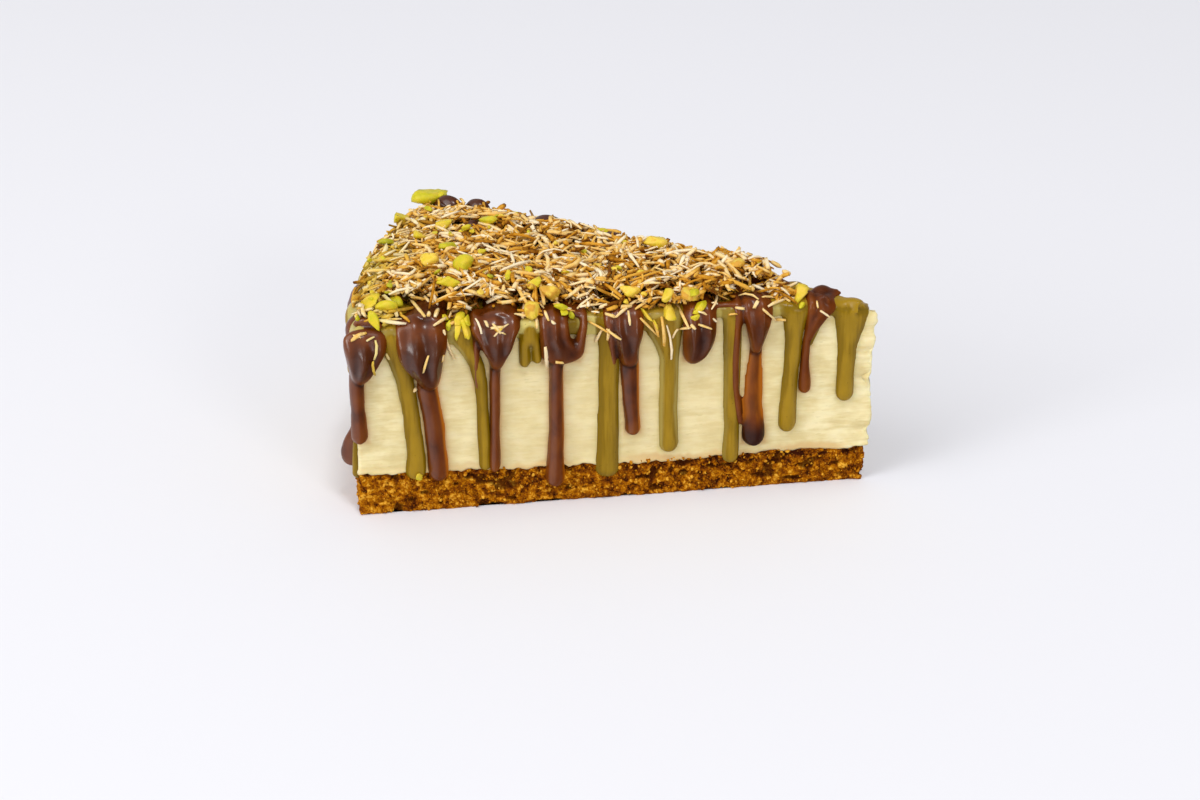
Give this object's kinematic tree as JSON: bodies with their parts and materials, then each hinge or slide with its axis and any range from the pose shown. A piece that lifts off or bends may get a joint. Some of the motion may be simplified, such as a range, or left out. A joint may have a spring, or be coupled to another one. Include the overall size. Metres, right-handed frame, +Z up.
{
  "type": "cheesecake slice",
  "caption": "Wedge-shaped slice of pistachio kunafa cheesecake: crumb base, pale filling, pistachio and chocolate sauce run down its sides, toasted kunafa strands and chopped nuts on top.",
  "frame": {"origin": "middle of the bounding box, at the underside of the crumb base", "axes": "+X from the outer rim of the cake towards the tip of the slice, +Y towards the far cut face, +Z up"},
  "size_m": [0.1292, 0.083, 0.0571],
  "materials": {
    "biscuit_crumb": "rough crumb",
    "cream_cheese": "matte, knife-dragged",
    "pistachio_sauce": "satin gloss",
    "chocolate_sauce": "satin gloss",
    "toasted_kunafa": "dry and matte"
  },
  "bodies": {
    "root": {"crumb_base": "biscuit_crumb", "cheesecake_filling": "cream_cheese", "pistachio_sauce": "pistachio_sauce", "chocolate_sauce": "chocolate_sauce", "kunafa_topping": "toasted_kunafa"}
  },
  "joints": []
}
